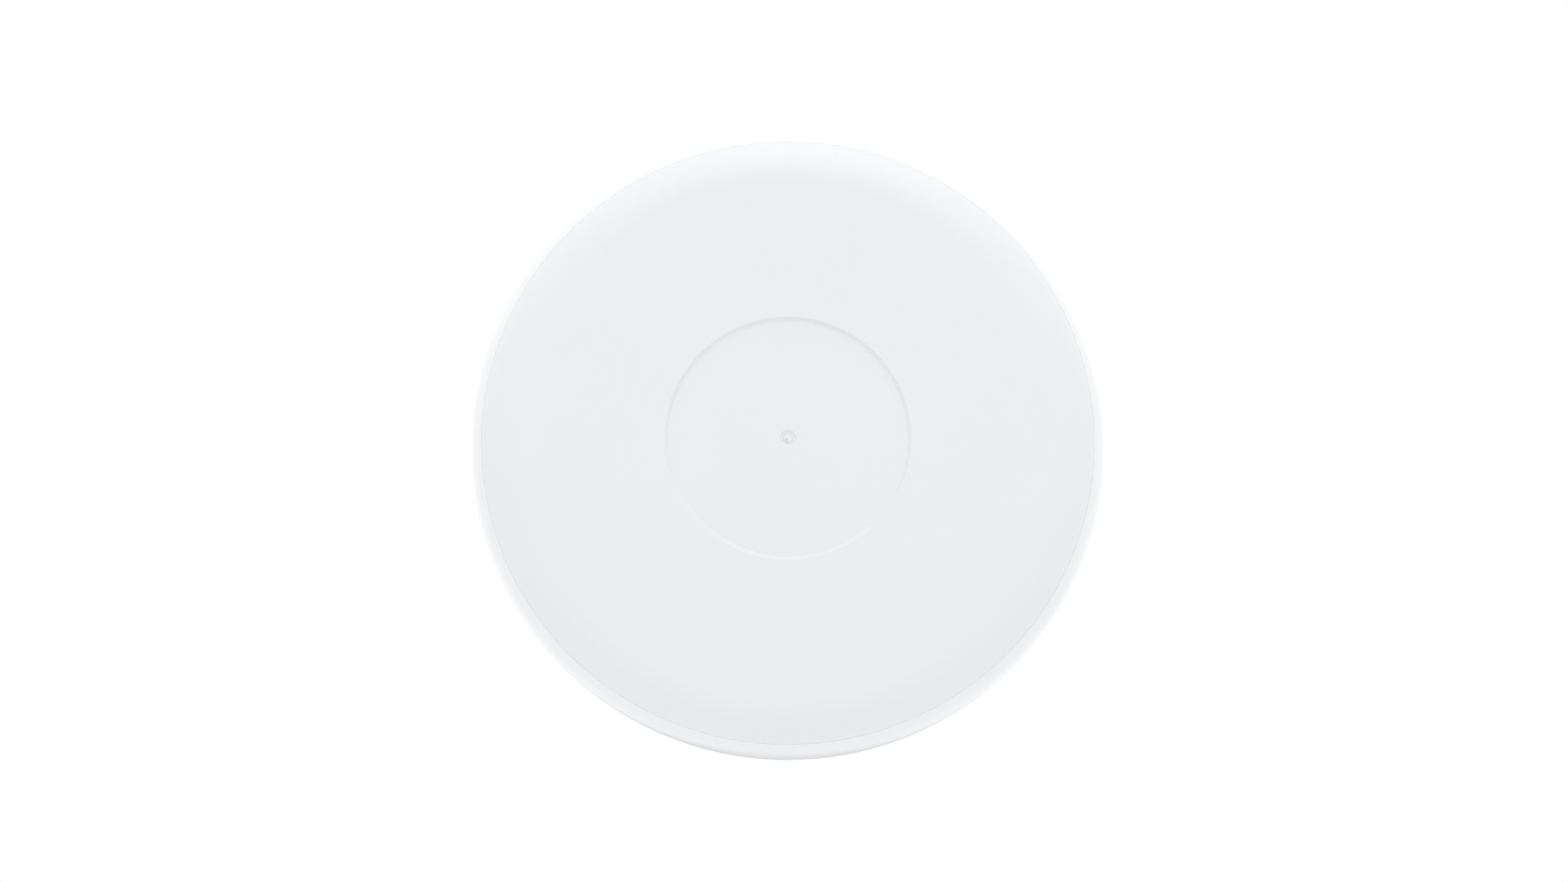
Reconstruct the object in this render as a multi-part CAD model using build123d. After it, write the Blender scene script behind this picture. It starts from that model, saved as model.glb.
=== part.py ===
from build123d import *
from math import cos, radians, sin, tan
import os

# Round ceiling access point, hanging in its place of use.
# The ceiling plane is Z = 0 and the face looks down, so nearly every height is given as a
# drop: a distance below the ceiling, in millimetres. X runs across and the cable comes in
# along Y. The port bay opens upwards and the network jack faces -Y inside it.

# ---- Overall size -------------------------------------------------------------------
BODY_R = 80.0          # widest radius of the closed body
FACE = 33.0            # drop of the flat face
BACK = 1.5             # drop of the back edge, so the body floats just off the ceiling
WALL = 2.0             # moulded wall thickness

# ---- Outline of the body ------------------------------------------------------------
WIDEST = 21.5          # drop of the widest circle
FLAT_R = 65.6          # where the flat face turns into the rounded shoulder
FLANK_ROUND = 12.0     # radius behind the widest circle
FLANK_SLOPE = 50.0     # lean of the straight back flank, in degrees from upright

# ---- Face details -------------------------------------------------------------------
DISH_R = 30.2          # stepped-down disc in the middle of the face
DISH_DEPTH = 0.8
DISH_STEP = 0.8        # width of its sloping edge
DIMPLE_R = 2.1         # hollow around the status light
DIMPLE_DEPTH = 0.5
COVER_R = 77.1         # edge of the front cover
LIP_R = 77.2           # inside of the base's lip, a tenth of a millimetre further out
SEAT = 26.0            # drop of the ledge that the cover sits on
LEDGE_R, LEDGE_TOP = 75.6, 24.6    # inner edge and upper side of that ledge
SNAPS = 6              # snap arms under the cover
SNAP_INNER, SNAP_OUTER = 73.4, 74.8
SNAP_TOP, SNAP_BOTTOM = 21.6, 29.2
SNAP_W = 10.0
BARB_R, BARB_TOP, BARB_BOTTOM = 76.3, 22.2, 24.4

# ---- Bracket and its bayonet --------------------------------------------------------
BRACKET_R = 56.0
BRACKET_WALL = 2.5     # of its rim and its hub
WEB_TOP, WEB_BOTTOM = 2.5, 5.0
PASSAGE_R = 24.0       # hole for the cable
RIB_ANGLES = [53, 143, 233, 323]
RIB_W, RIB_TOP = 2.0, 0.6
SCREW_CIRCLE = 83.3    # fits a single-gang wall box, as well as bare ceilings
SCREW_HOLE_R, SCREW_BORE_R = 2.25, 4.6
BOX_SPACING = 60.3     # two more holes, for a round ceiling box
BOX_HOLE_R, BOX_BORE_R = 2.1, 4.2
BORE_SEAT = 2.2        # drop where the sunk screw heads seat
BOSS_R = 5.5
STUD_CIRCLE_R = 46.0
STUD_ANGLES = [45, 135, 225, 315]
TURN = 20.0            # degrees from locked to free
SHANK_R = 2.25
STUD_HEAD_R = 4.0
STUD_HEAD_TOP, STUD_HEAD_BOTTOM = 1.2, 2.4
STUD_TIP = 12.0        # end of the thread in the heat sink
SLOT_PLAY = 0.25       # beside a stud's shank in its bayonet slot
ENTRY_PLAY = 0.75      # around a stud's head in the slot's round end

# ---- Lock tab: a springy tongue whose nose rides a ramp in the base -------------------
TAB_ANGLE = 247.5
TAB_ROOT, TAB_TIP = 28.5, 51.0
TAB_TOP, TAB_BOTTOM = 3.1, 4.5
TAB_W = 8.0
TAB_SLIT = 0.6         # free space on both sides of the tongue
NOSE_R = 1.6
NOSE_AT = 47.0
NOSE_TIP = 7.4
NOSE_LIFT = 1.2        # how far the ramp lifts the nose over the whole turn
NOSE_GAP = 0.15
GROOVE_W = 6.2         # of the groove that holds the ramp
GROOVE_WALL = 1.9      # beside and past the groove, under the base's floor
GROOVE_BOTTOM = 9.2

# ---- Base housing -------------------------------------------------------------------
POCKET_R = 57.5        # pocket in the back that swallows the bracket
FLOOR_TOP, FLOOR_BOTTOM = 6.3, 7.8
BAY = (-12.0, 20.0, -20.0, 28.0)   # inside of the port bay: x from, x to, y from, y to
BAY_WALL = 1.5
BAY_FLOOR = 19.6
BAY_PLAY = 0.1         # around the tray in the base's floor
TRAY_REACH = 2.4       # how far the tray's flange reaches beyond the inside of the bay
TRAY_FLANGE = 1.2
LEDGE_JOIN = 0.25      # overlap of the ledge into the wall, so that they are one moulding
VENTS_PER_GROUP = 7
VENT_PITCH = 5.0       # degrees
VENT_INNER, VENT_OUTER, VENT_BOTTOM, VENT_W = 67.0, 73.0, 13.0, 1.8
LABEL_X, LABEL_W, LABEL_L, LABEL_THICK = -34.0, 28.0, 26.0, 0.15

# ---- Electronics stack --------------------------------------------------------------
SINK_R = 66.0
SINK_TOP, SINK_BOTTOM = 8.0, 10.5
SINK_SCREW_R = 63.0    # radius of the circle of screws between heat sink and base
SINK_SCREW_TIP, SINK_SCREW_BORE = 4.5, 4.2
SINK_BOSS_R = 3.25
STUD_BOSS_R, STUD_BOSS_BOTTOM, STUD_BORE = 3.5, 13.0, 12.3
POST_R, POST_BORE = 3.0, 15.0      # posts that carry the board
BOARD_R = 70.0
BOARD_TOP, BOARD_BOTTOM = 21.5, 23.1
BOARD_SCREW_R = 60.0
BOARD_SCREW_TIP = 16.0
SCREW_R, SCREW_HEAD_R, SCREW_HEAD = 1.5, 2.75, 1.9
CROSS_L, CROSS_W, CROSS_DEPTH = 3.2, 0.7, 0.8
GAP = 0.05             # radial play around screws, studs and the light guide

# ---- Network jack -------------------------------------------------------------------
JACK_W, JACK_TOP = 16.0, 8.0
JACK_FRONT, JACK_BACK = 27.8, 45.8
JACK_SKIN = 0.3
JACK_PLAY = 0.15       # around the jack in the tray's window
PORT_W, PORT_TOP, PORT_BOTTOM, PORT_END = 11.8, 11.3, 17.9, 40.0
LATCH_W, LATCH_TOP = 6.2, 9.3
CONTACTS, CONTACT_PITCH = 8, 1.02
CONTACT_W, CONTACT_THICK, CONTACT_RISE = 0.45, 0.3, 1.4
CONTACT_ROOT, CONTACT_BEND, CONTACT_END = 29.2, 30.4, 38.4

# ---- Reset button -------------------------------------------------------------------
BUTTON_X, BUTTON_DROP = 14.0, 17.2
BUTTON_R = 1.92
BUTTON_HOLE_R = 2.0
BUTTON_PROUD = 0.4     # how far the cap stands into the bay
BUTTON_FLANGE_R, BUTTON_FLANGE = 2.8, 0.9
BUTTON_TAIL_R, BUTTON_END = 1.2, 32.2
PLUNGER_R, PLUNGER_END = 1.5, 34.5
SWITCH_FRONT, SWITCH_BACK, SWITCH_W, SWITCH_RISE = 33.4, 37.4, 7.0, 2.8
PLUNGER_BORE_END = 35.5

# ---- Status light -------------------------------------------------------------------
LIGHT_R = 1.15
LIGHT_TOP = 24.3
LIGHT_FLANGE_R = 3.0
LIGHT_FLANGE_TOP, LIGHT_FLANGE_BOTTOM = 26.2, 27.0
LIGHT_BOSS_R = 3.2
DOME_FROM, DOME_RISE = 31.75, 0.4
LED_W, LED_HEIGHT = 3.0, 0.9
FOAM_OUTER, FOAM_INNER = 4.2, 2.3

# ---- Shield cans and the thermal pads on them: x, y, width along X, length along Y ----
CAN_HEIGHT, CAN_SKIN = 2.8, 0.25
PAD = 0.8
PAD_INSET, RISER_INSET = 6.0, 4.0  # how much smaller the pad and the heat sink's riser are
CANS = {
    "processor_shield": (-36.0, -12.0, 30.0, 30.0),
    "low_band_shield": (-34.0, 24.0, 26.0, 22.0),
    "high_band_shield": (42.0, -10.0, 26.0, 26.0),
}


# ---- Shape helpers ------------------------------------------------------------------
def disc(radius, top, bottom, x=0.0, y=0.0):
    """Round slab between two drops."""
    return Pos(x, y, -(top + bottom) / 2) * Cylinder(radius, bottom - top)


def ring(outer, inner, top, bottom, x=0.0, y=0.0):
    """Round slab with a round hole."""
    return disc(outer, top, bottom, x, y) - disc(inner, top, bottom, x, y)


def block(x, y, width, length, top, bottom):
    """Box centred on x, y between two drops."""
    return Pos(x, y, -(top + bottom) / 2) * Box(width, length, bottom - top)


def block_between(x_from, x_to, y_from, y_to, top, bottom):
    """Box given by its sides."""
    return block((x_from + x_to) / 2, (y_from + y_to) / 2, x_to - x_from, y_to - y_from, top, bottom)


def rod_along_y(radius, y_from, y_to, x, drop):
    """Cylinder lying along Y."""
    return Pos(x, (y_from + y_to) / 2, -drop) * Rot(90, 0, 0) * Cylinder(radius, y_to - y_from)


def sector(inner, outer, start, size, top, bottom):
    """Part of a ring, from the start angle on through size degrees."""
    section = Pos((inner + outer) / 2, -(top + bottom) / 2) * Rectangle(outer - inner, bottom - top)
    return Rot(0, 0, start) * revolve(Plane.XZ * section, Axis.Z, size)


def prism(points, plane, thickness):
    """Straight solid with a polygon section, centred on the plane."""
    section = make_face(Polyline(*points, close=True))
    return extrude(plane * section, thickness / 2, both=True)


def on_circle(radius, angle):
    """X and Y of a point on a circle."""
    return radius * cos(radians(angle)), radius * sin(radians(angle))


def envelope(inset):
    """The closed body as one solid, with its surface moved inwards by inset."""
    shoulder = EllipticalCenterArc(
        (FLAT_R, -WIDEST), BODY_R - FLAT_R - inset, FACE - WIDEST - inset, -90, arc_size=90)
    flank = CenterArc((BODY_R - FLANK_ROUND, -WIDEST), FLANK_ROUND - inset, 0, FLANK_SLOPE)
    flank_end = flank @ 1
    back = -(BACK + inset)
    back_r = flank_end.X - (back - flank_end.Y) * tan(radians(FLANK_SLOPE))
    rest = Polyline(flank_end, (back_r, back), (0, back), (0, -(FACE - inset)), shoulder @ 0)
    return revolve(Plane.XZ * make_face([shoulder, flank, rest]), Axis.Z)


# ---- Bracket ------------------------------------------------------------------------
def keyhole(angle):
    """Bayonet slot: the stud enters the round end and turns into the narrow one."""
    centre_line = CenterArc((0, 0), STUD_CIRCLE_R, angle - TURN, TURN)
    slot = extrude(SlotArc(centre_line, 2 * (SHANK_R + SLOT_PLAY)), -WEB_BOTTOM)
    entry = disc(STUD_HEAD_R + ENTRY_PLAY, 0, WEB_BOTTOM, *on_circle(STUD_CIRCLE_R, angle - TURN))
    return slot + entry


def mounting_bracket():
    web = disc(BRACKET_R, WEB_TOP, WEB_BOTTOM)
    rim = ring(BRACKET_R, BRACKET_R - BRACKET_WALL, 0, WEB_TOP)
    hub = disc(PASSAGE_R + BRACKET_WALL, 0, WEB_TOP)
    plate = web + rim + hub
    rib = block_between(PASSAGE_R + 1, BRACKET_R - 1, -RIB_W / 2, RIB_W / 2, RIB_TOP, WEB_TOP)
    for angle in RIB_ANGLES:
        plate += Rot(0, 0, angle) * rib
    screws = [on_circle(SCREW_CIRCLE / 2, angle) for angle in range(0, 360, 90)]
    box_screws = [(-BOX_SPACING / 2, 0), (BOX_SPACING / 2, 0)]
    for x, y in screws + box_screws:
        plate += disc(BOSS_R, 0, WEB_TOP, x, y)
    for x, y in screws:
        plate -= disc(SCREW_HOLE_R, 0, WEB_BOTTOM, x, y)
        plate -= disc(SCREW_BORE_R, BORE_SEAT, WEB_BOTTOM, x, y)
    for x, y in box_screws:
        plate -= disc(BOX_HOLE_R, 0, WEB_BOTTOM, x, y)
        plate -= disc(BOX_BORE_R, BORE_SEAT, WEB_BOTTOM, x, y)
    for angle in STUD_ANGLES:
        plate -= keyhole(angle)
    side = TAB_W / 2 + TAB_SLIT
    window = block_between(TAB_ROOT - 0.8, TAB_TIP + 1, -side, side, 0, WEB_BOTTOM)
    return plate - disc(PASSAGE_R, 0, WEB_BOTTOM) - Rot(0, 0, TAB_ANGLE) * window


def lock_tab():
    """Tongue with a round root that it swings about, and a round nose near its tip."""
    middle = (TAB_TOP + TAB_BOTTOM) / 2
    side = TAB_W / 2
    tongue = block_between(TAB_ROOT, TAB_TIP, -side, side, TAB_TOP, TAB_BOTTOM)
    root = rod_along_y((TAB_BOTTOM - TAB_TOP) / 2, -side, side, TAB_ROOT, middle)
    post = disc(NOSE_R, middle, NOSE_TIP - NOSE_R, NOSE_AT)
    nose = Pos(NOSE_AT, 0, -(NOSE_TIP - NOSE_R)) * Sphere(NOSE_R)
    return Rot(0, 0, TAB_ANGLE) * (tongue + root + post + nose)


# ---- Base housing -------------------------------------------------------------------
def ramp_pocket():
    """Groove for the lock tab's nose, deepest where the body is locked."""
    deepest = NOSE_TIP + NOSE_GAP
    margin = 3.0
    groove = sector(NOSE_AT - GROOVE_W / 2, NOSE_AT + GROOVE_W / 2, TAB_ANGLE - margin,
                    TURN + 2 * margin, FLOOR_TOP, deepest)
    run = NOSE_AT * sin(radians(TURN))
    slope = NOSE_LIFT / run
    far = NOSE_AT / 2
    section = [(0, -deepest), (far, -deepest), (far, -deepest + far * slope)]
    ramp = prism(section, Plane.YZ, 3 * GROOVE_W)
    return groove - Rot(0, 0, TAB_ANGLE) * Pos(NOSE_AT, 0, 0) * ramp


def port_tray():
    """Open-topped tray that hangs in the base's floor, with windows for the jack and the button."""
    x_from, x_to, y_from, y_to = BAY
    outside = (x_from - BAY_WALL, x_to + BAY_WALL, y_from - BAY_WALL, y_to + BAY_WALL)
    flange = (x_from - TRAY_REACH, x_to + TRAY_REACH, y_from - TRAY_REACH, y_to + TRAY_REACH)
    tray = block_between(*outside, FLOOR_TOP, BAY_FLOOR + BAY_WALL)
    tray += block_between(*flange, FLOOR_BOTTOM, FLOOR_BOTTOM + TRAY_FLANGE)
    jack_window = block_between(-JACK_W / 2 - JACK_PLAY, JACK_W / 2 + JACK_PLAY,
                                JACK_FRONT - JACK_PLAY, y_to + TRAY_REACH, JACK_TOP - 0.4,
                                BAY_FLOOR + BAY_WALL)
    button_hole = rod_along_y(BUTTON_HOLE_R, y_to, y_to + BAY_WALL, BUTTON_X, BUTTON_DROP)
    return tray - block_between(*BAY, FLOOR_TOP, BAY_FLOOR) - jack_window - button_hole


def vent(angle):
    """One slot through the sloping back flank."""
    slot = block_between(VENT_INNER, VENT_OUTER, -VENT_W / 2, VENT_W / 2, BACK, VENT_BOTTOM)
    return Rot(0, 0, angle) * slot


def base_housing():
    behind_seam = disc(BODY_R + 1, BACK, SEAT) + ring(BODY_R + 1, LIP_R, SEAT, FACE)
    shell = (envelope(0) - envelope(WALL)) & behind_seam
    shell -= disc(POCKET_R, BACK, FLOOR_TOP)
    shell += ring(POCKET_R + WALL, POCKET_R, BACK, FLOOR_BOTTOM)
    shell += disc(POCKET_R + WALL, FLOOR_TOP, FLOOR_BOTTOM)
    shell += ring(LIP_R - LEDGE_JOIN, LEDGE_R, LEDGE_TOP, SEAT)
    reach = GROOVE_W / 2 + GROOVE_WALL
    shell += sector(NOSE_AT - reach, NOSE_AT + reach, TAB_ANGLE - 5, TURN + 10,
                    FLOOR_BOTTOM - 0.5, GROOVE_BOTTOM)
    for angle in range(0, 360, 90):
        x, y = on_circle(SINK_SCREW_R, angle)
        shell += disc(SINK_BOSS_R, BACK + 1, SINK_TOP, x, y) & envelope(WALL / 2)
        shell -= disc(SCREW_R + GAP, SINK_SCREW_BORE, SINK_TOP, x, y)
    fit = BAY_WALL + BAY_PLAY
    shell -= block_between(BAY[0] - fit, BAY[1] + fit, BAY[2] - fit, BAY[3] + fit,
                           FLOOR_TOP, FLOOR_BOTTOM)
    shell -= ramp_pocket()
    for angle in STUD_ANGLES:
        shell -= disc(SHANK_R + 0.1, FLOOR_TOP, FLOOR_BOTTOM, *on_circle(STUD_CIRCLE_R, angle))
        for step in range(VENTS_PER_GROUP):
            shell -= vent(angle + VENT_PITCH * (step - (VENTS_PER_GROUP - 1) / 2))
    return shell


def rating_label():
    """Blank label on the floor of the bracket pocket."""
    return block(LABEL_X, 0, LABEL_W, LABEL_L, FLOOR_TOP - LABEL_THICK, FLOOR_TOP)


def bayonet_studs():
    """Shouldered studs: head behind the bracket, threaded end in the heat sink."""
    studs = []
    for angle in STUD_ANGLES:
        x, y = on_circle(STUD_CIRCLE_R, angle)
        head = disc(STUD_HEAD_R, STUD_HEAD_TOP, STUD_HEAD_BOTTOM, x, y)
        head -= block(x, y, 5, 1, STUD_HEAD_TOP, STUD_HEAD_TOP + 0.6)
        shank = disc(SHANK_R, STUD_HEAD_BOTTOM, SINK_TOP, x, y)
        studs.append(head + shank + disc(SCREW_R, SINK_TOP, STUD_TIP, x, y))
    return studs


# ---- Heat sink ----------------------------------------------------------------------
def heat_sink():
    """Die-cast plate with raised pads over the shield cans and posts for the board."""
    plate = disc(SINK_R, SINK_TOP, SINK_BOTTOM)
    for x, y, width, length in CANS.values():
        plate += block(x, y, width - RISER_INSET, length - RISER_INSET, SINK_BOTTOM,
                       BOARD_TOP - CAN_HEIGHT - PAD)
    hole_r = SCREW_R + GAP
    for angle in STUD_ANGLES:
        post, stud = on_circle(BOARD_SCREW_R, angle), on_circle(STUD_CIRCLE_R, angle)
        plate += disc(POST_R, SINK_BOTTOM, BOARD_TOP, *post)
        plate += disc(STUD_BOSS_R, SINK_BOTTOM, STUD_BOSS_BOTTOM, *stud)
        plate -= disc(hole_r, POST_BORE, BOARD_TOP, *post)
        plate -= disc(hole_r, SINK_TOP, STUD_BORE, *stud)
        plate -= disc(hole_r, SINK_TOP, SINK_BOTTOM, *on_circle(SINK_SCREW_R, angle - 45))
    room = TRAY_REACH + 0.5
    plate -= block_between(BAY[0] - room, BAY[1] + room, BAY[2] - room, JACK_BACK + 1.7,
                           SINK_TOP, SINK_BOTTOM)
    reach = GROOVE_W / 2 + GROOVE_WALL + 1
    return plate - sector(NOSE_AT - reach, NOSE_AT + reach, TAB_ANGLE - 7, TURN + 14,
                          SINK_TOP, SINK_BOTTOM)


def screw(x, y, tip, seat):
    """Pan-head screw driven from below: the head sits under the seat."""
    end = seat + SCREW_HEAD
    cross = block(x, y, CROSS_L, CROSS_W, end - CROSS_DEPTH, end)
    cross += block(x, y, CROSS_W, CROSS_L, end - CROSS_DEPTH, end)
    return disc(SCREW_R, tip, seat, x, y) + disc(SCREW_HEAD_R, seat, end, x, y) - cross


def heat_sink_screws():
    return [screw(*on_circle(SINK_SCREW_R, angle), SINK_SCREW_TIP, SINK_BOTTOM)
            for angle in range(0, 360, 90)]


def thermal_pads():
    bottom = BOARD_TOP - CAN_HEIGHT
    return [block(x, y, width - PAD_INSET, length - PAD_INSET, bottom - PAD, bottom)
            for x, y, width, length in CANS.values()]


# ---- Circuit board and what is soldered to it ---------------------------------------
def main_board():
    board = disc(BOARD_R, BOARD_TOP, BOARD_BOTTOM)
    for angle in STUD_ANGLES:
        board -= disc(SCREW_R + 0.1, BOARD_TOP, BOARD_BOTTOM, *on_circle(BOARD_SCREW_R, angle))
    return board


def board_screws():
    return [screw(*on_circle(BOARD_SCREW_R, angle), BOARD_SCREW_TIP, BOARD_BOTTOM)
            for angle in STUD_ANGLES]


def shield_can(x, y, width, length):
    """Drawn metal lid, open towards the board."""
    top = BOARD_TOP - CAN_HEIGHT
    inside = block(x, y, width - 2 * CAN_SKIN, length - 2 * CAN_SKIN, top + CAN_SKIN, BOARD_TOP)
    return block(x, y, width, length, top, BOARD_TOP) - inside


def on_board(x, y, width, length, height):
    """A part standing on the ceiling side of the board."""
    return block(x, y, width, length, BOARD_TOP - height, BOARD_TOP)


def processor():
    return on_board(-42, -12, 14, 14, 1.4)


def memory_chips():
    return [on_board(-27.5, y, 8, 11, 1.0) for y in (-19, -5)]


def flash_chip():
    return on_board(-26, -38, 6, 8, 1.6)


def radio_chips():
    return [on_board(x, y, 9, 9, 0.9) for x, y in ((-34, 24), (42, -10))]


def power_transformer():
    """Ferrite block with its winding showing at both ends."""
    core = on_board(38, 19, 17, 11, 9.5)
    return core + on_board(38, 19, 12, 15, 6.5)


def line_magnetics():
    return on_board(0, 55.5, 16, 11, 6.0)


def capacitors():
    """Upright electrolytic cans."""
    return [disc(4, BOARD_TOP - 10, BOARD_TOP, x, y) for x, y in ((8, -38), (20, -40))]


def inductors():
    return [on_board(x, -40, 7, 7, 4.0) for x in (-6, -16)]


def antenna(radius, angle, length, width, height):
    """Stamped inverted-F antenna: a flat arm on a feed leg and a ground leg."""
    sheet = 0.4
    arm_bottom = BOARD_BOTTOM + height
    arm = block(radius, 0, width, length, arm_bottom - sheet, arm_bottom)
    legs = block(radius, -length / 2 + sheet / 2, 2, sheet, BOARD_BOTTOM, arm_bottom)
    legs += block(radius, -length / 2 + 5, 2, sheet, BOARD_BOTTOM, arm_bottom)
    return Rot(0, 0, angle) * (arm + legs)


def low_band_antennas():
    return [antenna(50, angle, 34, 9, 6.3) for angle in (0, 180)]


def high_band_antennas():
    return [antenna(50, angle, 17, 7, 4.8) for angle in (90, 270)]


# ---- Network jack -------------------------------------------------------------------
def port_space(y_from):
    """Space for the plug and, above it, for the plug's latch."""
    plug = block_between(-PORT_W / 2, PORT_W / 2, y_from, PORT_END, PORT_TOP, PORT_BOTTOM)
    return plug + block_between(-LATCH_W / 2, LATCH_W / 2, y_from, PORT_END, LATCH_TOP, PORT_TOP)


def ethernet_jack_shell():
    """Folded metal shield, open towards the board."""
    outside = block_between(-JACK_W / 2, JACK_W / 2, JACK_FRONT, JACK_BACK, JACK_TOP, BOARD_TOP)
    inside = block_between(-JACK_W / 2 + JACK_SKIN, JACK_W / 2 - JACK_SKIN, JACK_FRONT + JACK_SKIN,
                           JACK_BACK - JACK_SKIN, JACK_TOP + JACK_SKIN, BOARD_TOP)
    return outside - inside - port_space(JACK_FRONT)


def ethernet_jack_body():
    play = JACK_SKIN + GAP
    moulding = block_between(-JACK_W / 2 + play, JACK_W / 2 - play, JACK_FRONT + play,
                             JACK_BACK - play, JACK_TOP + play, BOARD_TOP)
    return moulding - port_space(JACK_FRONT)


def ethernet_contacts():
    """Eight sprung wires rising from the floor of the port towards its back."""
    floor, end = -PORT_BOTTOM, -PORT_BOTTOM + CONTACT_RISE
    under = [(CONTACT_ROOT, floor), (CONTACT_BEND, floor), (CONTACT_END, end)]
    over = [(y, z + CONTACT_THICK) for y, z in reversed(under)]
    wire = prism(under + over, Plane.YZ, CONTACT_W)
    return [Pos((n - (CONTACTS - 1) / 2) * CONTACT_PITCH, 0, 0) * wire for n in range(CONTACTS)]


# ---- Reset button -------------------------------------------------------------------
def reset_button():
    """Round cap in the end wall of the bay, with a flange behind the wall and a tail."""
    flange_at = BAY[3] + BAY_WALL + GAP
    tail_at = flange_at + BUTTON_FLANGE
    cap = rod_along_y(BUTTON_R, BAY[3] - BUTTON_PROUD, flange_at, BUTTON_X, BUTTON_DROP)
    flange = rod_along_y(BUTTON_FLANGE_R, flange_at, tail_at, BUTTON_X, BUTTON_DROP)
    tail = rod_along_y(BUTTON_TAIL_R, tail_at, BUTTON_END, BUTTON_X, BUTTON_DROP)
    return cap + flange + tail


def switch_plunger():
    return rod_along_y(PLUNGER_R, BUTTON_END, PLUNGER_END, BUTTON_X, BUTTON_DROP)


def reset_switch():
    """Right-angle switch on the board, with the hole that its plunger runs in."""
    case = block_between(BUTTON_X - SWITCH_W / 2, BUTTON_X + SWITCH_W / 2, SWITCH_FRONT,
                         SWITCH_BACK, BUTTON_DROP - SWITCH_RISE, BOARD_TOP)
    return case - rod_along_y(PLUNGER_R + GAP, SWITCH_FRONT, PLUNGER_BORE_END, BUTTON_X, BUTTON_DROP)


# ---- Parts of the status light ------------------------------------------------------
def status_led():
    return block(0, 0, LED_W, LED_W, BOARD_BOTTOM, BOARD_BOTTOM + LED_HEIGHT)


def light_foam():
    """Foam ring that keeps the light inside the guide."""
    return ring(FOAM_OUTER, FOAM_INNER, BOARD_BOTTOM, LIGHT_FLANGE_TOP)


def light_guide():
    """Clear rod with a flange inside and a domed end that shows in the face."""
    dome_r = (LIGHT_R ** 2 + DOME_RISE ** 2) / (2 * DOME_RISE)
    apex = DOME_FROM + DOME_RISE
    tip = Pos(0, 0, dome_r - apex) * Sphere(dome_r) & disc(LIGHT_R, DOME_FROM, apex)
    flange = disc(LIGHT_FLANGE_R, LIGHT_FLANGE_TOP, LIGHT_FLANGE_BOTTOM)
    return disc(LIGHT_R, LIGHT_TOP, DOME_FROM) + flange + tip


# ---- Front cover --------------------------------------------------------------------
def snap_arm(angle):
    """Arm that reaches up behind the base's ledge, with a barb that hooks over it."""
    arm = block_between(SNAP_INNER, SNAP_OUTER, -SNAP_W / 2, SNAP_W / 2, SNAP_TOP, SNAP_BOTTOM)
    section = [(SNAP_OUTER, -BARB_TOP), (SNAP_OUTER, -BARB_BOTTOM), (BARB_R, -BARB_BOTTOM)]
    return Rot(0, 0, angle) * (arm + prism(section, Plane.XZ, SNAP_W))


def front_cover():
    cover = (envelope(0) - envelope(WALL)) & disc(COVER_R, SEAT, FACE)
    inner_face = FACE - WALL
    cover += disc(DISH_R + DISH_STEP + 1, inner_face - DISH_DEPTH, inner_face)
    cover += disc(LIGHT_BOSS_R, LIGHT_FLANGE_BOTTOM, inner_face)
    dish = Cone(DISH_R + DISH_STEP, DISH_R, DISH_DEPTH)
    cover -= Pos(0, 0, -FACE + DISH_DEPTH / 2) * dish
    dish_floor = FACE - DISH_DEPTH
    cover -= disc(DIMPLE_R, dish_floor - DIMPLE_DEPTH, dish_floor)
    cover -= disc(LIGHT_R + GAP, LIGHT_FLANGE_BOTTOM, dish_floor)
    for n in range(SNAPS):
        cover += snap_arm(n * 360 / SNAPS)
    return cover


# ---- The set of nodes ---------------------------------------------------------------
NODES = {
    "mounting_bracket": mounting_bracket,
    "lock_tab": lock_tab,
    "base_housing": base_housing,
    "port_tray": port_tray,
    "rating_label": rating_label,
    "bayonet_studs": bayonet_studs,
    "heat_sink": heat_sink,
    "heat_sink_screws": heat_sink_screws,
    "thermal_pads": thermal_pads,
    "main_board": main_board,
    "board_screws": board_screws,
    "processor": processor,
    "memory_chips": memory_chips,
    "flash_chip": flash_chip,
    "radio_chips": radio_chips,
    "power_transformer": power_transformer,
    "line_magnetics": line_magnetics,
    "capacitors": capacitors,
    "inductors": inductors,
    "low_band_antennas": low_band_antennas,
    "high_band_antennas": high_band_antennas,
    "ethernet_jack_shell": ethernet_jack_shell,
    "ethernet_jack_body": ethernet_jack_body,
    "ethernet_contacts": ethernet_contacts,
    "reset_button": reset_button,
    "switch_plunger": switch_plunger,
    "reset_switch": reset_switch,
    "status_led": status_led,
    "light_foam": light_foam,
    "light_guide": light_guide,
    "front_cover": front_cover,
}

os.makedirs("parts", exist_ok=True)
shapes = {name: make() for name, make in NODES.items()}
shapes |= {name: shield_can(*place) for name, place in CANS.items()}
for name, shape in shapes.items():
    solids = shape if isinstance(shape, list) else [shape]
    solids = [solid for piece in solids for solid in piece.solids()]
    export_step(Compound(children=solids), f"parts/{name}.step")
    print(name, len(solids))
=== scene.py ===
"""Looks of a round ceiling access point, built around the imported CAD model.

The ceiling plane is Z = 0 and the face looks down. Sizes of the object are in millimetres and
its heights are drops below the ceiling, as in the part's own frame; MM turns them to metres.
The camera, the lights and the floor are placed in metres.
"""

from math import acos, asin, cos, degrees, pi, radians, sin, tan

import bmesh
import bpy
from mathutils import Matrix, Vector


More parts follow.
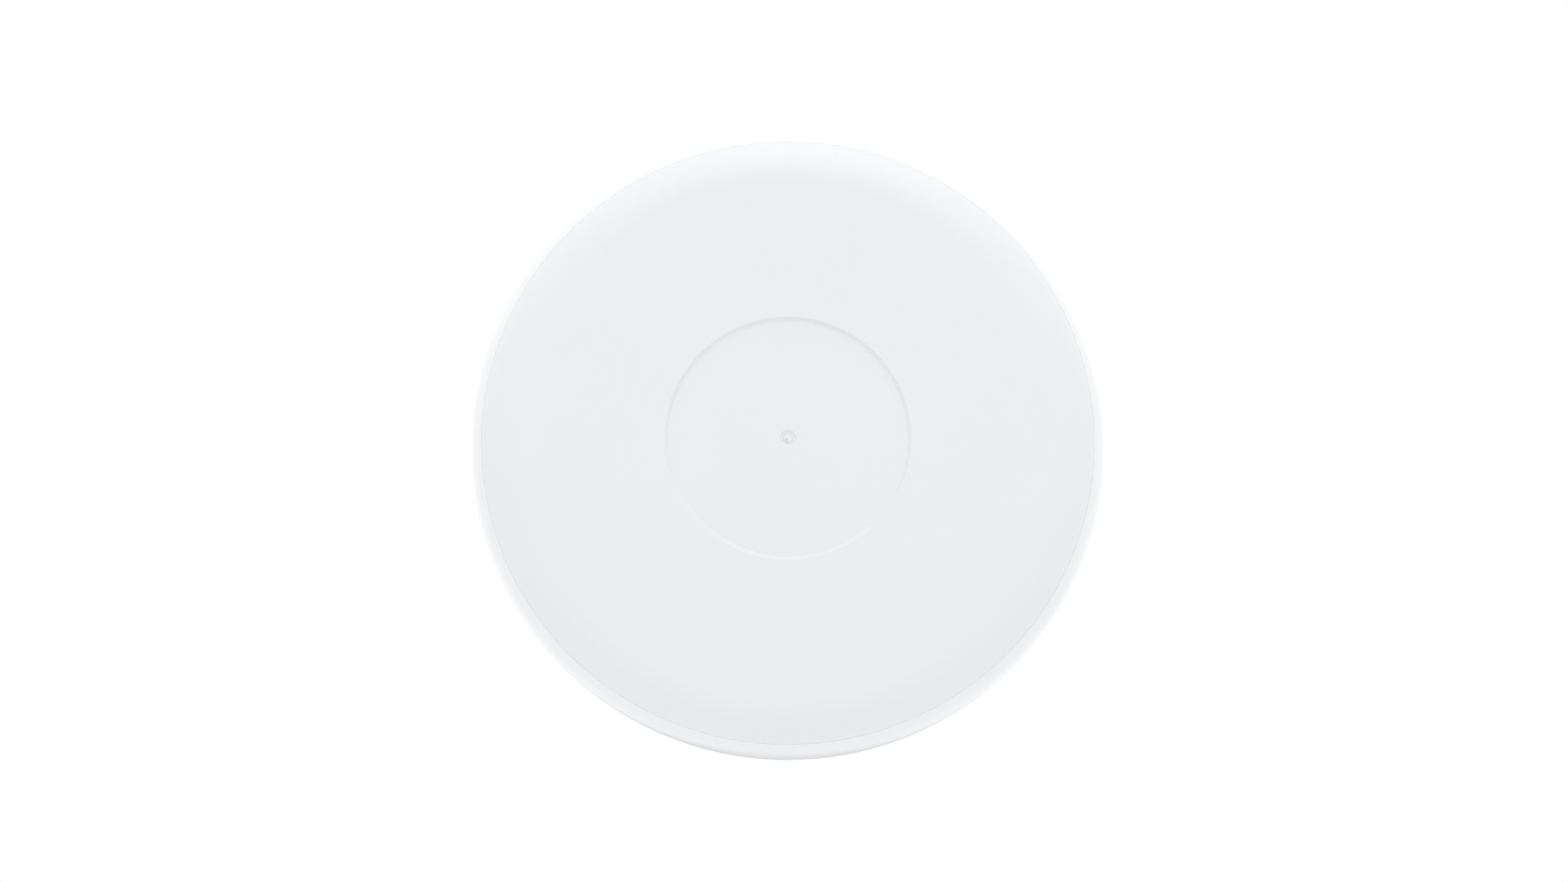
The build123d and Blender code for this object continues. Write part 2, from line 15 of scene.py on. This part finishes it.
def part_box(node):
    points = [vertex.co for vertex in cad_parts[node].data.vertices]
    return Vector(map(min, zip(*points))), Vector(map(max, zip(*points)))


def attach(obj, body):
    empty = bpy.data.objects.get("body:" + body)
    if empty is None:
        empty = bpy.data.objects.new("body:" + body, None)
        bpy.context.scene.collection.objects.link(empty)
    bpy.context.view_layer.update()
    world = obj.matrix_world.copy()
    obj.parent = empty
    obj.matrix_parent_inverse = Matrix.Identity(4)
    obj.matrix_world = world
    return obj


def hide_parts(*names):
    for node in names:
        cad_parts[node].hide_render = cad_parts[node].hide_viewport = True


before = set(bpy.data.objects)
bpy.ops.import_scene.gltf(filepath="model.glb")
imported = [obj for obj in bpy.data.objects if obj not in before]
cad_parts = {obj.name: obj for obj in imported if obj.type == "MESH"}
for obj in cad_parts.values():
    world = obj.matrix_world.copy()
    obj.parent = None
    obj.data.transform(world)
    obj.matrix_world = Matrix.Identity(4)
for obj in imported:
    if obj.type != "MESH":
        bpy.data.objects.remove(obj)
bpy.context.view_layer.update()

MM = 0.001

# ---- Sizes of the front cover, read from the frame where it has them ------------------
cover_low, cover_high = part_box("front_cover")
_, base_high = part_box("base_housing")

BODY_R = base_high.x / MM
FACE = -cover_low.z / MM
COVER_R = cover_high.x / MM

WALL = 2.0
WIDEST = 21.5                          # drop of the widest circle
FLAT_R = 65.6                          # edge of the flat face
SEAT = 26.0                            # drop of the cover's rear edge
EDGE_CUT, EDGE_ROUND = 0.02, 0.05      # the shoulder's curve ends just short of COVER_R
SEAM_DEPTH, SEAM_LAP = 0.12, 0.085     # the cover laps behind its seam with the base's lip

DISH_R, DISH_DEPTH = 30.2, 0.8         # the sunk disc in the middle of the face
DISH_STEP, STEP_ROUND = 0.8, 0.3       # the slope at its edge: width and rounding
PAD_MARGIN = 1.0                       # the pad inside reaches this far past the disc
DIMPLE_R, DIMPLE_DEPTH = 2.1, 0.5      # the hollow around the light guide
DIMPLE_SLOPE, DIMPLE_BRIM, DIMPLE_FOOT = 0.35, 0.12, 0.3    # its side: width and roundings
GUIDE_HOLE_R, GUIDE_HOLE_ROUND = 1.17, 0.05
GUIDE_BOSS_R, GUIDE_BOSS_TOP = 3.2, 27.0

SNAPS, SNAP_W = 6, 10.0
SNAP_INNER, SNAP_OUTER = 73.4, 74.8
SNAP_TOP, SNAP_BOTTOM = 21.6, 29.2
SNAP_ROUND, SNAP_BEVEL, SNAP_BEVEL_STEPS = 0.3, 0.1, 2
BARB_R, BARB_TOP, BARB_BOTTOM, BARB_ROUND = 76.3, 22.2, 24.4, 0.15

ARC_STEPS, SHOULDER_STEPS, INSIDE_STEPS, TURN_STEPS = 4, 40, 24, 360
FLAT_KEEPER = 0.15                     # a point this share of a rounding beyond its arc
SHARP_ANGLE = radians(40)

# ---- Camera, lights and floor ---------------------------------------------------------
CAMERA_TILT = radians(10.5)
CAMERA_AIM, CAMERA_DISTANCE = Vector((0, 0, -0.0215)), 1.981
CAMERA_LENS, CAMERA_SENSOR, CAMERA_CLIP = 180, 36, 0.01
CAMERA_SHIFT = (-0.0025, 0.0032)

# Each light's place, size and power.
LIGHTS = {
    "fill_below": ((0, 0, -2.2), 3.2, 2.6),
    "key": ((-0.1, 1.5, -0.6), 1.4, 4.6),
    "back_key": ((-0.9, 1.1, 1.5), 1.2, 0.7),
}

WORLD_TINT = (0.985, 0.99, 1.0, 1)
# Each change in the world's light: its span, of height or of distance from the dim patch, and
# the brightness at both ends of the span.
HORIZON = ((-0.1, 0.1), (0.79, 1.0))
BACKDROP = ((0.2, 0.7), (0.62, 1.0))
PATCH = ((0.25, 0.75), (0.55, 1.12))
PATCH_CENTRE, PATCH_SCALE = (0.05, -0.42, 0.9), (1.9, 1, 1)    # directions are scaled first

FLOOR_DROP, FLOOR_HALF = 2.6, 2.0
FLOOR_COLOUR, FLOOR_ROUGHNESS = (0.88, 0.882, 0.885, 1), 0.8

# ---- Numbers that the materials share -------------------------------------------------
NOISE_SPAN = (0.3, 0.7)                # where most values of a noise lie
MOTTLE_DETAIL, GLOSS_DETAIL, GRAIN_DETAIL = 3.0, 4.0, 2.0
GLOSS_SIZE = 0.37                      # size of the glossy patches against the mottle's
BEVEL_SAMPLES = 6


def add_object(name, data):
    """Put an object with the given data into the scene."""
    item = bpy.data.objects.new(name, data)
    bpy.context.scene.collection.objects.link(item)
    return item


# ---- Node helpers ---------------------------------------------------------------------
def new_material(name):
    """A new material, with its nodes and links."""
    material = bpy.data.materials.new(name)
    material.use_nodes = True
    return material, material.node_tree.nodes, material.node_tree.links


def noise(nodes, links, vector, size, detail):
    """Noise with features of about the given size in millimetres."""
    node = nodes.new("ShaderNodeTexNoise")
    node.inputs["Scale"].default_value = 1 / (size * MM)
    node.inputs["Detail"].default_value = detail
    links.new(vector, node.inputs["Vector"])
    return node.outputs["Fac"]


def ramp(nodes, links, value, colours):
    """Run from one colour to the other across the span of a noise."""
    node = nodes.new("ShaderNodeValToRGB")
    for element, place, colour in zip(node.color_ramp.elements, NOISE_SPAN, colours):
        element.position = place
        element.color = (*colour, 1)
    links.new(value, node.inputs["Fac"])
    return node.outputs["Color"]


def mapped(nodes, links, value, span, ends, interpolation):
    """Map a span of values onto the range between two ends."""
    node = nodes.new("ShaderNodeMapRange")
    node.interpolation_type = interpolation
    node.inputs["From Min"].default_value, node.inputs["From Max"].default_value = span
    node.inputs["To Min"].default_value, node.inputs["To Max"].default_value = ends
    links.new(value, node.inputs["Value"])
    return node.outputs["Result"]


def spread(nodes, links, value, ends):
    """Map the span of a noise onto the range between two ends."""
    return mapped(nodes, links, value, NOISE_SPAN, ends, "LINEAR")


def eased(nodes, links, value, span, ends):
    """Map a span of values onto another with a soft start and end."""
    return mapped(nodes, links, value, span, ends, "SMOOTHSTEP")


def scaled(nodes, links, vector, scale):
    """The vector scaled along each axis."""
    node = nodes.new("ShaderNodeMapping")
    node.inputs["Scale"].default_value = scale
    links.new(vector, node.inputs["Vector"])
    return node.outputs["Vector"]


def distance(nodes, links, vector, point):
    """Distance of the vector from a fixed point."""
    node = nodes.new("ShaderNodeVectorMath")
    node.operation = "DISTANCE"
    node.inputs[1].default_value = point
    links.new(vector, node.inputs[0])
    return node.outputs["Value"]


def soft_edges(nodes, radius):
    """Normal that rolls over the edges, as moulded, pressed and machined ones do."""
    node = nodes.new("ShaderNodeBevel")
    node.samples = BEVEL_SAMPLES
    node.inputs["Radius"].default_value = radius * MM
    return node.outputs["Normal"]


def bump(nodes, links, height, depth, under=None):
    """Bump of the given depth in millimetres, on top of another normal."""
    node = nodes.new("ShaderNodeBump")
    node.inputs["Distance"].default_value = depth * MM
    links.new(height, node.inputs["Height"])
    if under is not None:
        links.new(under, node.inputs["Normal"])
    return node.outputs["Normal"]


# ---- Camera ---------------------------------------------------------------------------
def make_camera():
    """Long lens below the face, tipped a little so that some of the side wall shows."""
    back = Vector((0, -sin(CAMERA_TILT), -cos(CAMERA_TILT)))
    up = Vector((0, cos(CAMERA_TILT), -sin(CAMERA_TILT)))
    turn = Matrix((up.cross(back), up, back)).transposed().to_4x4()
    data = bpy.data.cameras.new("camera")
    data.lens = CAMERA_LENS
    data.sensor_width = CAMERA_SENSOR
    data.clip_start = CAMERA_CLIP
    data.shift_x, data.shift_y = CAMERA_SHIFT
    camera = add_object("camera", data)
    camera.matrix_world = Matrix.Translation(CAMERA_AIM + back * CAMERA_DISTANCE) @ turn
    bpy.context.scene.camera = camera


# ---- Light ----------------------------------------------------------------------------
def make_world():
    """Soft light all round, a little less from below, with a dim patch overhead towards -Y.

    The patch shades the lower rim. The camera sees plain white overhead and pale grey below.
    """
    world = bpy.data.worlds.new("studio")
    bpy.context.scene.world = world
    world.use_nodes = True
    nodes, links = world.node_tree.nodes, world.node_tree.links
    nodes.clear()
    direction = nodes.new("ShaderNodeTexCoord").outputs["Generated"]
    split = nodes.new("ShaderNodeSeparateXYZ")
    links.new(direction, split.inputs["Vector"])
    height = split.outputs["Z"]

    near = distance(nodes, links, scaled(nodes, links, direction, PATCH_SCALE), PATCH_CENTRE)
    strength = nodes.new("ShaderNodeMath")
    strength.operation = "MULTIPLY"
    links.new(eased(nodes, links, near, *PATCH), strength.inputs[0])
    links.new(eased(nodes, links, height, *HORIZON), strength.inputs[1])
    soft = nodes.new("ShaderNodeBackground")
    soft.inputs["Color"].default_value = WORLD_TINT
    links.new(strength.outputs["Value"], soft.inputs["Strength"])
    plain = nodes.new("ShaderNodeBackground")
    links.new(eased(nodes, links, height, *BACKDROP), plain.inputs["Color"])

    path = nodes.new("ShaderNodeLightPath")
    mix = nodes.new("ShaderNodeMixShader")
    output = nodes.new("ShaderNodeOutputWorld")
    links.new(path.outputs["Is Camera Ray"], mix.inputs["Fac"])
    links.new(soft.outputs["Background"], mix.inputs[1])
    links.new(plain.outputs["Background"], mix.inputs[2])
    links.new(mix.outputs["Shader"], output.inputs["Surface"])


def make_lights():
    """Round softboxes aimed at the object, hidden from the camera."""
    for name, (place, size, power) in LIGHTS.items():
        data = bpy.data.lights.new(name, "AREA")
        data.shape = "DISK"
        data.size = size
        data.energy = power
        light = add_object(name, data)
        light.location = place
        light.rotation_euler = (-Vector(place)).to_track_quat("-Z", "Y").to_euler()
        light.visible_camera = False


def floor_paint():
    """Plain pale paint."""
    material, nodes, _ = new_material("floor_paint")
    shader = nodes["Principled BSDF"]
    shader.inputs["Base Color"].default_value = FLOOR_COLOUR
    shader.inputs["Roughness"].default_value = FLOOR_ROUGHNESS
    return material


def make_floor():
    """Plain pale floor, an ordinary room's height below the ceiling."""
    mesh = bpy.data.meshes.new("floor")
    signs = [(-1, -1), (1, -1), (1, 1), (-1, 1)]
    corners = [(x * FLOOR_HALF, y * FLOOR_HALF, -FLOOR_DROP) for x, y in signs]
    mesh.from_pydata(corners, [], [(0, 1, 2, 3)])
    mesh.materials.append(floor_paint())
    floor = add_object("floor", mesh)


# ---- Materials ------------------------------------------------------------------------
def surface(name, tones, tone_size, roughness, grain, edge=0.0, metallic=0.0,
            stretch=(1, 1, 1), **fixed):
    """Common base of the materials: mottled colour, uneven gloss and a fine raised grain.

    tones is two colours and tone_size the size of their patches, roughness is (low, high), grain
    is (size, depth), edge is the radius that edges look rounded to, all sizes in millimetres,
    stretch scales the pattern along each axis and fixed sets further inputs of the shader.
    """
    material, nodes, links = new_material(name)
    shader = nodes["Principled BSDF"]
    place = nodes.new("ShaderNodeTexCoord").outputs["Object"]
    drawn = scaled(nodes, links, place, stretch)
    mottle = noise(nodes, links, drawn, tone_size, MOTTLE_DETAIL)
    links.new(ramp(nodes, links, mottle, tones), shader.inputs["Base Color"])
    gloss = noise(nodes, links, drawn, tone_size * GLOSS_SIZE, GLOSS_DETAIL)
    links.new(spread(nodes, links, gloss, roughness), shader.inputs["Roughness"])
    height = noise(nodes, links, drawn, grain[0], GRAIN_DETAIL)
    rolled = soft_edges(nodes, edge) if edge else None
    links.new(bump(nodes, links, height, grain[1], rolled), shader.inputs["Normal"])
    shader.inputs["Metallic"].default_value = metallic
    for socket, value in fixed.items():
        shader.inputs[socket.replace("_", " ")].default_value = value
    return material


def cover_plastic():
    """Fine satin moulding."""
    return surface("cover_plastic", tones=[(0.85, 0.852, 0.862), (0.858, 0.86, 0.87)],
                   tone_size=38, roughness=(0.36, 0.42), grain=(0.28, 0.004))


def base_plastic():
    """Satin moulding with a glossier skin than the cover's."""
    return surface("base_plastic", tones=[(0.862, 0.864, 0.874), (0.87, 0.872, 0.882)],
                   tone_size=30, roughness=(0.3, 0.38), grain=(0.35, 0.005), edge=0.06,
                   Coat_Weight=1.0, Coat_Roughness=0.18, Coat_IOR=1.6)


def bracket_plastic():
    """Spark-eroded moulding."""
    return surface("bracket_plastic", tones=[(0.74, 0.745, 0.755), (0.77, 0.775, 0.785)],
                   tone_size=22, roughness=(0.5, 0.62), grain=(0.4, 0.012), edge=0.25)


def label_paper():
    """Matt coated label stock, with nothing written on it."""
    return surface("label_paper", tones=[(0.80, 0.81, 0.82), (0.84, 0.85, 0.86)],
                   tone_size=9, roughness=(0.55, 0.68), grain=(0.15, 0.004))


def turned_steel():
    """Steel with fine turning marks around Z."""
    return surface("turned_steel", tones=[(0.50, 0.50, 0.49), (0.62, 0.62, 0.60)],
                   tone_size=3, roughness=(0.22, 0.36), grain=(0.12, 0.003), edge=0.12,
                   metallic=1.0, stretch=(1, 1, 6))


def zinc_steel():
    """Zinc plating, grey with a yellow cast."""
    return surface("zinc_steel", tones=[(0.42, 0.43, 0.44), (0.60, 0.59, 0.52)],
                   tone_size=2, roughness=(0.28, 0.44), grain=(0.15, 0.004), edge=0.1,
                   metallic=1.0)


def cast_aluminium():
    """Die casting as it leaves the die."""
    return surface("cast_aluminium", tones=[(0.48, 0.49, 0.50), (0.60, 0.61, 0.62)],
                   tone_size=8, roughness=(0.42, 0.6), grain=(0.5, 0.03), edge=0.3,
                   metallic=1.0)


def silicone_pad():
    """Soft blue-grey thermal pad."""
    return surface("silicone_pad", tones=[(0.38, 0.46, 0.58), (0.45, 0.53, 0.64)],
                   tone_size=5, roughness=(0.6, 0.75), grain=(0.5, 0.02), edge=0.1)


def epoxy_black():
    """Moulded chip package."""
    return surface("epoxy_black", tones=[(0.018, 0.018, 0.02), (0.035, 0.035, 0.038)],
                   tone_size=4, roughness=(0.5, 0.66), grain=(0.12, 0.006), edge=0.08)


def sintered_ferrite():
    """Dark grey ceramic core."""
    return surface("sintered_ferrite", tones=[(0.05, 0.05, 0.053), (0.09, 0.09, 0.093)],
                   tone_size=2, roughness=(0.5, 0.7), grain=(0.2, 0.01), edge=0.2)


def drawn_can():
    """Aluminium can, with marks drawn out along Z."""
    return surface("drawn_can", tones=[(0.55, 0.56, 0.58), (0.66, 0.67, 0.69)],
                   tone_size=3, roughness=(0.25, 0.38), grain=(0.3, 0.004), edge=0.3,
                   metallic=1.0, stretch=(1, 1, 0.2))


def tinned_sheet():
    """Tinned sheet, rolled along X."""
    return surface("tinned_sheet", tones=[(0.60, 0.60, 0.58), (0.74, 0.73, 0.70)],
                   tone_size=5, roughness=(0.25, 0.42), grain=(0.35, 0.004), edge=0.1,
                   metallic=1.0, stretch=(1, 4, 1))


def nickel_sheet():
    """Nickel-plated sheet, rolled along Y."""
    return surface("nickel_sheet", tones=[(0.60, 0.59, 0.56), (0.72, 0.70, 0.67)],
                   tone_size=4, roughness=(0.2, 0.34), grain=(0.3, 0.003), edge=0.1,
                   metallic=1.0, stretch=(4, 1, 1))


def jack_plastic():
    """Glossy black moulding."""
    return surface("jack_plastic", tones=[(0.016, 0.016, 0.018), (0.028, 0.028, 0.03)],
                   tone_size=5, roughness=(0.3, 0.42), grain=(0.2, 0.004), edge=0.1)


def gold_wire():
    """Gold-plated contact wire."""
    return surface("gold_wire", tones=[(0.80, 0.56, 0.20), (0.93, 0.70, 0.32)],
                   tone_size=1.5, roughness=(0.15, 0.28), grain=(0.1, 0.002), edge=0.05,
                   metallic=1.0)


def button_plastic():
    """Dark grey moulding."""
    return surface("button_plastic", tones=[(0.09, 0.09, 0.1), (0.12, 0.12, 0.13)],
                   tone_size=2, roughness=(0.4, 0.52), grain=(0.15, 0.006), edge=0.12)


def led_resin():
    """Cast resin, tinted by the phosphor under it."""
    return surface("led_resin", tones=[(0.80, 0.80, 0.62), (0.88, 0.88, 0.74)],
                   tone_size=1, roughness=(0.18, 0.3), grain=(0.2, 0.003))


def black_foam():
    """Closed-cell foam."""
    return surface("black_foam", tones=[(0.015, 0.015, 0.016), (0.035, 0.035, 0.036)],
                   tone_size=0.6, roughness=(0.85, 0.95), grain=(0.25, 0.06))


def light_resin():
    """Milky moulding with painted shade: a darker spot off the centre of its tip, towards +X and
    -Y, stands in for the shade on that side of the domed tip.
    """
    # Painted shade: the place, tone and reach of the darker spot that stands in for the shade on
    # one side of the guide's domed tip.
    shade_spot_place, painted_shade_tone = (0.38 * MM, -0.36 * MM, 0), (0.7, 0.69, 0.67, 1)
    shade_spot_reach = (0.15 * MM, 0.65 * MM)
    material = surface("light_resin", tones=[(0.84, 0.842, 0.85), (0.86, 0.862, 0.87)],
                       tone_size=2, roughness=(0.2, 0.28), grain=(0.4, 0.002), IOR=1.49)
    nodes, links = material.node_tree.nodes, material.node_tree.links
    tone = nodes["Principled BSDF"].inputs["Base Color"]
    place = nodes.new("ShaderNodeTexCoord").outputs["Object"]
    from_shade_spot = distance(nodes, links, scaled(nodes, links, place, (1, 1, 0)), shade_spot_place)
    # Mixes the painted shade spot into the guide's mottled colour.
    mix = nodes.new("ShaderNodeMix")
    mix.data_type = "RGBA"
    mix.inputs["A"].default_value = painted_shade_tone
    links.new(eased(nodes, links, from_shade_spot, shade_spot_reach, (0.0, 1.0)), mix.inputs["Factor"])
    links.new(tone.links[0].from_socket, mix.inputs["B"])
    links.new(mix.outputs["Result"], tone)
    return material


def board_laminate():
    """Green solder mask over copper tracks, which show as slightly raised paler lines."""
    track_pitch, track_height = 3.2, 0.03
    gloss_size, roughness = 6, (0.25, 0.38)
    material, nodes, links = new_material("board_laminate")
    shader = nodes["Principled BSDF"]
    place = nodes.new("ShaderNodeTexCoord").outputs["Object"]
    tracks = nodes.new("ShaderNodeTexBrick")
    tracks.inputs["Scale"].default_value = 1 / (track_pitch * MM)
    tracks.inputs["Mortar Size"].default_value = 0.05
    tracks.inputs["Mortar Smooth"].default_value = 0.2
    tracks.inputs["Color1"].default_value = (0.012, 0.085, 0.04, 1)
    tracks.inputs["Color2"].default_value = (0.014, 0.10, 0.045, 1)
    tracks.inputs["Mortar"].default_value = (0.035, 0.19, 0.085, 1)
    links.new(place, tracks.inputs["Vector"])
    links.new(tracks.outputs["Color"], shader.inputs["Base Color"])
    gloss = noise(nodes, links, place, gloss_size, MOTTLE_DETAIL)
    links.new(spread(nodes, links, gloss, roughness), shader.inputs["Roughness"])
    raised = bump(nodes, links, tracks.outputs["Fac"], track_height)
    links.new(raised, shader.inputs["Normal"])
    return material


# The CAD nodes that wear each look.
LOOKS = {
    bracket_plastic: ["mounting_bracket", "lock_tab"],
    base_plastic: ["base_housing", "port_tray"],
    cover_plastic: ["front_cover"],
    label_paper: ["rating_label"],
    turned_steel: ["bayonet_studs"],
    cast_aluminium: ["heat_sink"],
    zinc_steel: ["heat_sink_screws", "board_screws"],
    silicone_pad: ["thermal_pads"],
    board_laminate: ["main_board"],
    epoxy_black: ["processor", "memory_chips", "flash_chip", "radio_chips", "line_magnetics",
                  "reset_switch"],
    tinned_sheet: ["processor_shield", "low_band_shield", "high_band_shield",
                   "low_band_antennas", "high_band_antennas"],
    sintered_ferrite: ["power_transformer", "inductors"],
    drawn_can: ["capacitors"],
    nickel_sheet: ["ethernet_jack_shell"],
    jack_plastic: ["ethernet_jack_body"],
    gold_wire: ["ethernet_contacts"],
    button_plastic: ["reset_button", "switch_plunger"],
    led_resin: ["status_led"],
    black_foam: ["light_foam"],
    light_resin: ["light_guide"],
}


def paint_cad_nodes():
    """Make one material for each look and give it to its CAD nodes."""
    made = {look: look() for look in LOOKS}
    for look, names in LOOKS.items():
        for name in names:
            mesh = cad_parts[name].data
            mesh.materials.clear()
            mesh.materials.append(made[look])
    return made


# ---- Mesh helpers ---------------------------------------------------------------------
def rounded(corners):
    """Closed outline of (radius, drop, rounding) corners, with each rounding as a short arc.

    A point just outside each end of an arc keeps the flats beside it flat when shaded smooth.
    """
    outline = []
    count = len(corners)
    for n, (r, drop, size) in enumerate(corners):
        here = Vector((r, drop))
        if not size:
            outline.append(here)
            continue
        before = (Vector(corners[n - 1][:2]) - here).normalized()
        after = (Vector(corners[(n + 1) % count][:2]) - here).normalized()
        turn = before.angle(after)
        reach = size / tan(turn / 2)
        start, end = here + before * reach, here + after * reach
        centre = here + (before + after).normalized() * (size / sin(turn / 2))
        outline.append(start + before * size * FLAT_KEEPER)
        for step in range(ARC_STEPS + 1):
            spoke = (start - centre).lerp(end - centre, step / ARC_STEPS)
            outline.append(centre + spoke.normalized() * size)
        outline.append(end + after * size * FLAT_KEEPER)
    return outline


def ellipse_arc(centre_r, centre_drop, reach_r, reach_drop, start, end, steps):
    """Points of (radius, drop) on an ellipse, from one parameter angle to another."""
    angles = [radians(start + (end - start) * n / steps) for n in range(steps + 1)]
    return [Vector((centre_r + reach_r * cos(a), centre_drop + reach_drop * sin(a)))
            for a in angles]


def turned(shape, outline):
    """Add the closed surface made by turning a closed outline of (radius, drop) about Z."""
    angles = [2 * pi * n / TURN_STEPS for n in range(TURN_STEPS)]
    rings = [[shape.verts.new((r * cos(a) * MM, r * sin(a) * MM, -drop * MM)) for a in angles]
             for r, drop in outline]
    for ring, after in zip(rings, rings[1:] + rings[:1]):
        for n in range(TURN_STEPS):
            m = (n + 1) % TURN_STEPS
            shape.faces.new((ring[n], ring[m], after[m], after[n]))


def extruded(shape, outline, width, angle):
    """Add a closed prism of an outline of (radius, drop), turned about Z, its ends' edges eased."""
    turn = Matrix.Rotation(angle, 3, "Z")
    ends = [[shape.verts.new(turn @ Vector((r, y, -drop)) * MM) for r, drop in outline]
            for y in (-width / 2, width / 2)]
    count = len(outline)
    for n in range(count):
        m = (n + 1) % count
        shape.faces.new((ends[0][n], ends[0][m], ends[1][m], ends[1][n]))
    caps = [shape.faces.new(end) for end in ends]
    rims = {edge for cap in caps for edge in cap.edges}
    bmesh.ops.bevel(shape, geom=list(rims), offset=SNAP_BEVEL * MM, segments=SNAP_BEVEL_STEPS,
                    affect="EDGES")


def finished(shape, name):
    """Turn the built surfaces into an object, shaded smooth with its sharp edges kept crisp."""
    bmesh.ops.recalc_face_normals(shape, faces=shape.faces)
    mesh = bpy.data.meshes.new(name)
    shape.to_mesh(mesh)
    shape.free()
    mesh.polygons.foreach_set("use_smooth", [True] * len(mesh.polygons))
    mesh.set_sharp_from_angle(angle=SHARP_ANGLE)
    return add_object(name, mesh)


# ---- Front cover ----------------------------------------------------------------------
def cover_outline():
    """Closed section of the cover: its face, shoulder, rear edge, inside and guide boss."""
    reach_r, reach_drop = BODY_R - FLAT_R, FACE - WIDEST
    inner_r, inner_drop = reach_r - WALL, reach_drop - WALL
    edge = degrees(acos((COVER_R - EDGE_CUT - FLAT_R) / reach_r))
    inner_edge = degrees(asin((SEAT - WIDEST) / inner_drop))
    dish_floor = FACE - DISH_DEPTH
    dimple_floor = dish_floor - DIMPLE_DEPTH
    face = rounded([
        (GUIDE_HOLE_R, dimple_floor, GUIDE_HOLE_ROUND),
        (DIMPLE_R - DIMPLE_SLOPE, dimple_floor, DIMPLE_FOOT),
        (DIMPLE_R, dish_floor, DIMPLE_BRIM),
        (DISH_R, dish_floor, STEP_ROUND),
        (DISH_R + DISH_STEP, FACE, STEP_ROUND),
        (FLAT_R, FACE, 0),
        (GUIDE_HOLE_R, GUIDE_BOSS_TOP, 0),
    ])[:-1]
    shoulder = ellipse_arc(FLAT_R, WIDEST, reach_r, reach_drop, 90, edge, SHOULDER_STEPS)[1:]
    edge_drop = WIDEST + reach_drop * sin(radians(edge))
    rim = rounded([
        (*shoulder[-3], 0),
        (COVER_R, edge_drop, EDGE_ROUND),
        (COVER_R, edge_drop - SEAM_DEPTH, 0),
        (COVER_R + SEAM_LAP, edge_drop - SEAM_DEPTH, 0),
        (COVER_R + SEAM_LAP, SEAT, EDGE_ROUND),
        (FLAT_R, SEAT, 0),
    ])[1:-1]
    inside = ellipse_arc(FLAT_R, WIDEST, inner_r, inner_drop, inner_edge, 90, INSIDE_STEPS)
    pad_r = DISH_R + DISH_STEP + PAD_MARGIN
    pad_drop = FACE - WALL - DISH_DEPTH
    boss = [(pad_r, FACE - WALL), (pad_r, pad_drop), (GUIDE_BOSS_R, pad_drop),
            (GUIDE_BOSS_R, GUIDE_BOSS_TOP), (GUIDE_HOLE_R, GUIDE_BOSS_TOP)]
    return face + shoulder[:-2] + rim + inside + boss


def snap_outline():
    """Side view of a snap arm, with the barb that hooks over the base's ledge."""
    return rounded([
        (SNAP_INNER, SNAP_TOP, SNAP_ROUND),
        (SNAP_OUTER, SNAP_TOP, SNAP_ROUND),
        (SNAP_OUTER, BARB_TOP, 0),
        (BARB_R, BARB_BOTTOM, BARB_ROUND),
        (SNAP_OUTER, BARB_BOTTOM, 0),
        (SNAP_OUTER, SNAP_BOTTOM, 0),
        (SNAP_INNER, SNAP_BOTTOM, 0),
    ])


def make_cover(material):
    """The shell of the cover with its ring of snap arms, in place of the CAD cover."""
    shape = bmesh.new()
    for n in range(SNAPS):
        extruded(shape, snap_outline(), SNAP_W, 2 * pi * n / SNAPS)
    turned(shape, cover_outline())
    cover = finished(shape, "cover_shell")
    cover.data.materials.append(material)
    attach(cover, "access_point")
    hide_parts("front_cover")


# ---- The scene ------------------------------------------------------------------------
bpy.context.scene.view_settings.view_transform = "Standard"
make_camera()
make_world()
make_lights()
make_floor()
looks = paint_cad_nodes()
make_cover(looks[cover_plastic])
